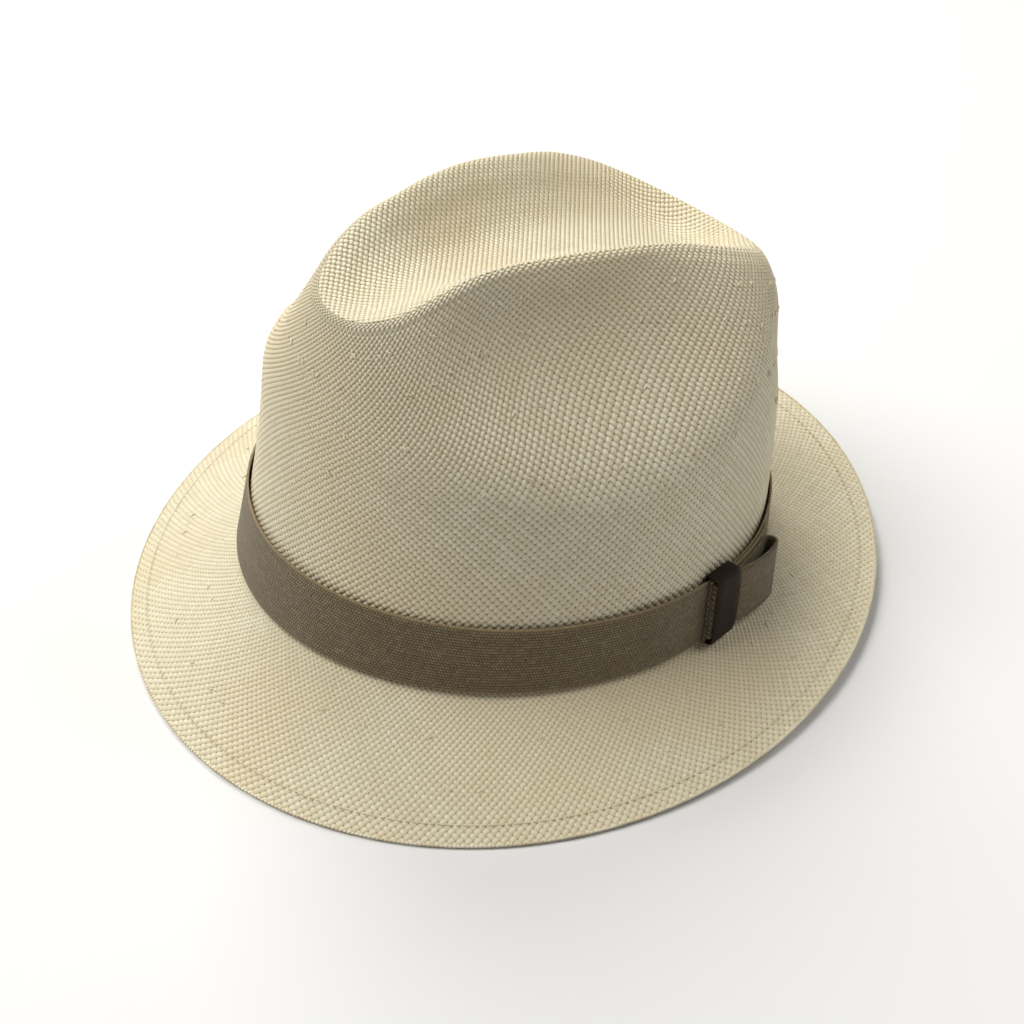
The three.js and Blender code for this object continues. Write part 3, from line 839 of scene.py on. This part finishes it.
def keeper_outline(grow):
    """The keeper's loop seen from its side, as distances out and heights; its front corners are rounder."""
    left = BAND_GAP - LAYER_GAP - LEATHER / 2 - grow
    right = ROOT_OUTER + LAYER_GAP + LEATHER / 2 + grow
    bottom = BAND_LIFT - LAYER_GAP - LEATHER / 2 - grow
    top = BAND_LIFT + RIBBON_HEIGHT + LAYER_GAP + LEATHER / 2 + grow
    outline = []
    for x, z, quarter in ((right, top, 0), (left, top, 1), (left, bottom, 2), (right, bottom, 3)):
        corner = (0.9 if x == left else KEEPER_CORNER) + grow
        cx = x + (corner if x == left else -corner)
        cz = z + (corner if z == bottom else -corner)
        for step in range(7):
            swing = (quarter + step / 6) * math.pi / 2
            outline.append((cx + corner * math.cos(swing), cz + corner * math.sin(swing)))
    front = [(right, bottom + corner + (top - bottom - 2 * corner) * n / 8) for n in range(1, 8)]
    return np.array(outline + front)


def bow_keeper():
    """The leather loop round band and bow: it follows the wall, and its front face swells to one side."""
    out = out_normal(np.array([KEEPER_ANGLE]))[0]
    along = stand(np.array([-out[1], out[0], 0.0])) - stand(np.zeros(3))
    across = [(-1, 0), (-0.96, 1), (-0.5, 1), (0, 1), (0.5, 1),
              (0.96, 1), (1, 0), (0.96, -1), (0, -1), (-0.96, -1)]
    loops = {side: keeper_outline(side * LEATHER / 2) for side in (-1, 0, 1)}
    low, high = BAND_LIFT, BAND_LIFT + RIBBON_HEIGHT
    sections = []
    for i in range(len(loops[0])):
        section = []
        for share, side in across:
            distance, height = loops[side][i]
            level = (height - low) / (high - low)
            swell = KEEPER_SWELL * math.sin(math.pi * min(1, max(0, level))) * (1 + share) / 2
            place = off_wall(KEEPER_ANGLE, height, distance)
            section.append(place + along * (share * KEEPER_WIDTH / 2 + swell))
        sections.append(section)
    swept("keeper_loop", sections, KEEPER_LOOK, True, lambda r, c: (across[c % len(across)][0], r * 1.0),
          body="keeper", replaces=("bow_keeper",), slot="keeper_leather")


SWEAT_OUTER = -(STRAW + SWEATBAND_GAP)
SWEAT_INNER = SWEAT_OUTER - SWEATBAND
SWEAT_BOTTOM = SWEATBAND_LIFT
SEAM_HEIGHT = SWEAT_BOTTOM + 3


def sweatband():
    """The leather strap inside the foot, and the reed piping along its lower edge."""
    angles, lengths = around(300)
    wall_band("sweatband_strap", angles, lengths, SWEAT_BOTTOM, SWEAT_BOTTOM + SWEATBAND_HEIGHT,
              SWEAT_INNER, SWEAT_OUTER, SWEATBAND_LOOK, True, rows=7,
              wave=0.12 * np.sin(11 * angles), replaces=("sweatband",), slot="sweatband_leather")
    swing = np.linspace(0, 2 * np.pi, 11)[:-1]
    height = SWEAT_BOTTOM - LAYER_GAP - REED_RADIUS
    middle = -(STRAW + LAYER_GAP + REED_RADIUS)
    sections = []
    heights = height + REED_RADIUS * np.sin(swing)
    distances = middle + REED_RADIUS * np.cos(swing)
    for angle in angles:
        sections.append(off_wall(angle, heights, distances))
    swept("reed_piping", sections, SWEATBAND_LOOK, True, lambda r, c: (r * 1.9, c * 0.5),
          replaces=("sweatband_reed",), slot="sweatband_leather")


def back_plate(name, outline, bottom, outer, thickness, material, slot, replaced, centre):
    """A small plate on the sweatband's inner face, from an outline across and upward, its faces puffed."""
    outline = np.array(outline, float)
    middle = outline.mean(0)
    layers = []
    for grow, deep in ((0.94, 0.0), (1.0, 0.3), (1.0, 0.7), (0.94, 1.0)):
        edge = middle + (outline - middle) * grow
        angle = centre + edge[:, 0] / FOOT_HALF_WIDTH
        layers.append(off_wall(angle, bottom + edge[:, 1], outer - deep * thickness))
    return swept(name, layers, material, False, lambda r, c: tuple(outline[c % len(outline)]),
                 replaces=(replaced,), slot=slot)


def rounded_plate(width, height, corner):
    outline = []
    for x, z, quarter in ((1, 1, 0), (-1, 1, 1), (-1, -1, 2), (1, -1, 3)):
        for step in range(4):
            swing = (quarter + step / 3) * math.pi / 2
            outline.append((x * (width / 2 - corner) + corner * math.cos(swing),
                            height / 2 + z * (height / 2 - corner) + corner * math.sin(swing)))
    return outline


def bow_shape(width, height):
    """Outline of a small tied bow: two flared wings that meet in a narrow knot."""
    outline = []
    for share in np.linspace(0, 1, 28, endpoint=False):
        swing = share * 2 * math.pi
        reach = abs(math.cos(swing)) ** 0.45
        pinch = 0.32 + 0.68 * abs(math.cos(swing)) ** 1.1
        rise = math.copysign(pinch, math.sin(swing)) * abs(math.sin(swing)) ** 0.5
        outline.append((width / 2 * math.copysign(reach, math.cos(swing)), height / 2 + height / 2 * rise))
    return outline


def inside_trim():
    """Join tape and small bow at the rear, and the blank tag."""
    back = math.pi / 2
    tape_bottom = SEAM_HEIGHT + 1.0
    inner = SWEAT_INNER - LAYER_GAP
    back_plate("join_tape", rounded_plate(9, 24, 1.2), tape_bottom, inner, 0.6, SWEATBAND_LOOK,
               "sweatband_leather", "sweatband_join_tape", back)
    back_plate("inner_bow", bow_shape(17, 8), tape_bottom + 4, inner - 1.0, 1.2, RIBBON_LOOK,
               "ribbon", "sweatband_bow", back)
    tag_bottom = SWEAT_BOTTOM + SWEATBAND_HEIGHT - 18
    back_plate("blank_size_tag", rounded_plate(24, 14, 1.5), tag_bottom, inner, 0.5,
               TAG_LOOK, "tag", "size_tag", math.pi * 0.86)


# ---- repeated stitches and straw ends, set along paths by one tree of nodes ----
def stitch_tree():
    """Places one rounded stitch on each point, laid along the point's run and flat to its surface."""
    tree = bpy.data.node_groups.new("laid_stitches", "GeometryNodeTree")
    face = tree.interface
    face.new_socket("Geometry", in_out="INPUT", socket_type="NodeSocketGeometry")
    for name, value in (("Length", 0.003), ("Width", 0.0008), ("Height", 0.0005), ("Jitter", 0.1)):
        face.new_socket(name, in_out="INPUT", socket_type="NodeSocketFloat").default_value = value
    face.new_socket("Seed", in_out="INPUT", socket_type="NodeSocketInt")
    face.new_socket("Material", in_out="INPUT", socket_type="NodeSocketMaterial")
    face.new_socket("Geometry", in_out="OUTPUT", socket_type="NodeSocketGeometry")
    nodes, links = tree.nodes, tree.links
    start, end = nodes.new("NodeGroupInput"), nodes.new("NodeGroupOutput")
    stitch = nodes.new("GeometryNodeMeshUVSphere")
    stitch.inputs["Segments"].default_value = 8
    stitch.inputs["Rings"].default_value = 6
    stitch.inputs["Radius"].default_value = 0.5
    size = nodes.new("ShaderNodeCombineXYZ")
    for axis, name in zip("XYZ", ("Length", "Width", "Height")):
        links.new(start.outputs[name], size.inputs[axis])
    run, up = nodes.new("GeometryNodeInputNamedAttribute"), nodes.new("GeometryNodeInputNamedAttribute")
    for node, name in ((run, "run"), (up, "up")):
        node.data_type = "FLOAT_VECTOR"
        node.inputs["Name"].default_value = name
    aim = nodes.new("FunctionNodeAlignRotationToVector")
    aim.axis = "X"
    links.new(run.outputs["Attribute"], aim.inputs["Vector"])
    lay = nodes.new("FunctionNodeAlignRotationToVector")
    lay.axis = "Z"
    lay.pivot_axis = "X"
    links.new(aim.outputs["Rotation"], lay.inputs["Rotation"])
    links.new(up.outputs["Attribute"], lay.inputs["Vector"])
    low, high = nodes.new("ShaderNodeMath"), nodes.new("ShaderNodeMath")
    low.operation, high.operation = "SUBTRACT", "ADD"
    low.inputs[0].default_value = high.inputs[0].default_value = 1.0
    links.new(start.outputs["Jitter"], low.inputs[1])
    links.new(start.outputs["Jitter"], high.inputs[1])
    vary = nodes.new("FunctionNodeRandomValue")
    links.new(low.outputs[0], vary.inputs["Min"])
    links.new(high.outputs[0], vary.inputs["Max"])
    links.new(start.outputs["Seed"], vary.inputs["Seed"])
    scale = nodes.new("ShaderNodeVectorMath")
    scale.operation = "SCALE"
    links.new(size.outputs[0], scale.inputs[0])
    links.new([o for o in vary.outputs if o.name == "Value" and o.enabled][0], scale.inputs["Scale"])
    place = nodes.new("GeometryNodeInstanceOnPoints")
    points = nodes.new("GeometryNodeMeshToPoints")
    links.new(start.outputs["Geometry"], points.inputs["Mesh"])
    links.new(points.outputs[0], place.inputs["Points"])
    links.new(stitch.outputs["Mesh"], place.inputs["Instance"])
    links.new(lay.outputs["Rotation"], place.inputs["Rotation"])
    links.new(scale.outputs[0], place.inputs["Scale"])
    realize = nodes.new("GeometryNodeRealizeInstances")
    smooth = nodes.new("GeometryNodeSetShadeSmooth")
    paint = nodes.new("GeometryNodeSetMaterial")
    links.new(place.outputs["Instances"], realize.inputs[0])
    links.new(realize.outputs[0], smooth.inputs[0])
    links.new(smooth.outputs[0], paint.inputs["Geometry"])
    links.new(start.outputs["Material"], paint.inputs["Material"])
    links.new(paint.outputs[0], end.inputs[0])
    return tree


STITCHES = stitch_tree()


def laid_stitches(name, points, runs, ups, length, width, height, jitter, seed, material,
                  replaces=()):
    """One piece of many stitches, sizes in millimetres."""
    mesh = bpy.data.meshes.new(name + "_points")
    mesh.from_pydata((np.asarray(points) * MM).tolist(), [], [])
    for label, vectors in (("run", runs), ("up", ups)):
        layer = mesh.attributes.new(label, "FLOAT_VECTOR", "POINT")
        layer.data.foreach_set("vector", np.asarray(vectors, np.float32).ravel())
    guide = bpy.data.objects.new(name + "_points", mesh)
    bpy.context.scene.collection.objects.link(guide)
    modifier = guide.modifiers.new("stitches", "NODES")
    modifier.node_group = STITCHES
    given = {"Length": length * MM, "Width": width * MM, "Height": height * MM, "Jitter": jitter,
             "Seed": seed, "Material": material}
    for item in STITCHES.interface.items_tree:
        if item.in_out == "INPUT" and item.name in given:
            modifier[item.identifier] = given[item.name]
    bpy.context.view_layer.update()
    graph = bpy.context.evaluated_depsgraph_get()
    result = bpy.data.meshes.new_from_object(guide.evaluated_get(graph))
    result.name = name
    guide.modifiers.remove(modifier)
    bpy.data.objects.remove(guide)
    piece = bpy.data.objects.new(name, result)
    bpy.context.scene.collection.objects.link(piece)
    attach(piece, "hat")
    if replaces:
        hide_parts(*replaces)
    return piece


def unit(vectors):
    """The same directions at length 1."""
    return vectors / np.linalg.norm(vectors, axis=-1, keepdims=True)


def on_surface(surface, angles, shares, lift, outward):
    """Points lifted off a surface, with the way around it and the way off it."""
    points = surface(angles, shares)
    up = surface_normals(surface, angles, shares) * outward
    run = unit(surface(angles + TURN, shares) - surface(angles - TURN, shares))
    return points + up * lift, run, up


def brim_edge():
    """The rim's turned edge: slanting strands laid side by side, and the line of stitches inside them."""
    angles = evenly(RIM_STRANDS)
    rim, run, up = on_surface(brim, angles, np.ones(RIM_STRANDS), RIM_STRAND_LIFT - STRAW / 2, -1)
    out = np.cross(run, up)
    slant = unit(run * 0.75 + up * 0.65)
    laid_stitches("rim_edge_strands", rim, slant, out, 2.5, 1.25, 0.9, 0.07, 3, STRAW_END_LOOK)
    angles = evenly(EDGE_STITCHES)
    width = BRIM_WIDTH + BRIM_SIDE_EXTRA * np.cos(2 * angles)
    line, run, up = on_surface(brim, angles, 1 - EDGE_LINE_INSET / width, 0.12, -1)
    laid_stitches("rim_edge_line", line, run, up, 1.7, 0.6, 0.35, 0.12, 4, THREAD_LOOK,
                  replaces=("brim_edge_thread",))


def straw_joins():
    """Ends of straw strands, worked in where new ones start, in rings around the crown and brim."""
    rng = np.random.default_rng(7)
    points, runs, ups = [], [], []
    for surface, outward, shares, cells, often in (
            (standing_crown, 1, CROWN_JOIN_RINGS, CELLS_SIDE, CROWN_JOIN_ODDS),
            (brim, -1, BRIM_JOIN_RINGS, CELLS_BRIM, BRIM_JOIN_ODDS)):
        for share in shares:
            marks = evenly(cells)
            marks = marks[rng.random(cells) < often]
            spread = share + rng.normal(0, 0.0035, len(marks))
            p, run, up = on_surface(surface, marks, spread, 0.16, outward)
            side = np.cross(up, run)
            sign = np.where(rng.random(len(marks)) < 0.5, 1, -1)[:, None]
            points.append(p)
            runs.append(unit(run + side * sign))
            ups.append(up)
    laid_stitches("straw_joins", np.concatenate(points), np.concatenate(runs), np.concatenate(ups),
                  2.1, 0.75, 0.4, 0.25, 11, STRAW_END_LOOK)


def sewn_lines():
    """Stitches that hold the sweatband, and the tacks that hold the ribbon band."""
    angles = evenly(SEAM_STITCHES)
    seam = off_wall(angles, SEAM_HEIGHT, SWEAT_INNER - 0.1)
    ahead = off_wall(angles + TURN, SEAM_HEIGHT, SWEAT_INNER)
    behind = off_wall(angles - TURN, SEAM_HEIGHT, SWEAT_INNER)
    run = unit(ahead - behind)
    further_in = off_wall(angles, SEAM_HEIGHT, SWEAT_INNER - 1)
    inward = unit(further_in - off_wall(angles, SEAM_HEIGHT, SWEAT_INNER))
    laid_stitches("sweatband_stitches", seam, run, inward, 1.9, 0.5, 0.4, 0.08, 5, THREAD_LOOK,
                  replaces=("sweatband_thread",))
    top = BAND_LIFT + RIBBON_HEIGHT - 3
    for place, degrees in (("front", -90), ("left_front", -40), ("rear", 90), ("right", 180)):
        centre = math.radians(degrees)
        angle = centre + np.array([-1.0, 0.0, 1.0]) * 0.5 / FOOT_HALF_WIDTH
        bars = off_wall(angle, top, 0.75)
        out = unit(off_wall(angle, top, 1.5) - off_wall(angle, top, 0.5))
        up = np.cross(out, unit(off_wall(angle + TURN, top, 0.5) - off_wall(angle - TURN, top, 0.5)))
        laid_stitches("band_tack_thread_" + place, bars, out, up, 0.9, 0.3, 0.3, 0.0, 6, THREAD_LOOK,
                      replaces=("band_tack_" + place,))


# ---- surroundings ----
def floor():
    mesh = bpy.data.meshes.new("floor")
    corners = [(-FLOOR_REACH, -FLOOR_REACH, 0), (FLOOR_REACH, -FLOOR_REACH, 0),
               (FLOOR_REACH, FLOOR_REACH, 0), (-FLOOR_REACH, FLOOR_REACH, 0)]
    mesh.from_pydata(corners, [], [(0, 1, 2, 3)])
    mesh.materials.append(floor_paint())
    made = bpy.data.objects.new("floor", mesh)
    bpy.context.scene.collection.objects.link(made)


def lamp(name, place, target, power, size):
    """A round soft lamp that faces the target."""
    light = bpy.data.lights.new(name, "AREA")
    light.energy = power
    light.shape = "DISK"
    light.size = size
    light.color = LAMP_TINT
    made = bpy.data.objects.new(name, light)
    made.location = place
    made.rotation_euler = (Vector(target) - Vector(place)).to_track_quat("-Z", "Y").to_euler()
    bpy.context.scene.collection.objects.link(made)


def studio():
    world = bpy.data.worlds.new("pale_room")
    world.use_nodes = True
    world.node_tree.nodes["Background"].inputs["Color"].default_value = (1.0, 1.0, 1.0, 1)
    world.node_tree.nodes["Background"].inputs["Strength"].default_value = 0.14
    bpy.context.scene.world = world
    top = (0, 0, CAD_BOX[1][2] * 0.5)
    lamp("key", (-0.5, -0.5, 1.3), top, 16, 1.0)
    lamp("far_side", (-0.9, 0.5, 1.1), top, 12, 0.8)
    lamp("rear", (0.6, 0.9, 1.1), top, 5, 0.8)
    bpy.context.scene.view_settings.view_transform = "Standard"


def camera():
    """Looks down on the hat's left front, as the hat is usually shown."""
    azimuth, elevation, roll = CAMERA_AZIMUTH, CAMERA_ELEVATION, CAMERA_ROLL
    back = Vector((math.sin(azimuth) * math.cos(elevation), -math.cos(azimuth) * math.cos(elevation),
                   math.sin(elevation)))
    right = Vector((math.cos(azimuth), math.sin(azimuth), 0))
    up = back.cross(right)
    across = right * math.cos(roll) + up * math.sin(roll)
    above = up * math.cos(roll) - right * math.sin(roll)
    lens = bpy.data.cameras.new("camera")
    lens.sensor_width = 36.0
    lens.lens = CAMERA_LENS
    lens.shift_x, lens.shift_y = CAMERA_SHIFT
    lens.clip_start = 0.01
    made = bpy.data.objects.new("camera", lens)
    turn = Matrix((across, above, back)).transposed().to_4x4()
    turn.translation = back * CAMERA_DISTANCE
    made.matrix_world = turn
    bpy.context.scene.collection.objects.link(made)
    bpy.context.scene.camera = made


straw_body()
hat_band()
band_overlap()
bow()
bow_keeper()
sweatband()
inside_trim()
brim_edge()
straw_joins()
sewn_lines()
floor()
studio()
camera()
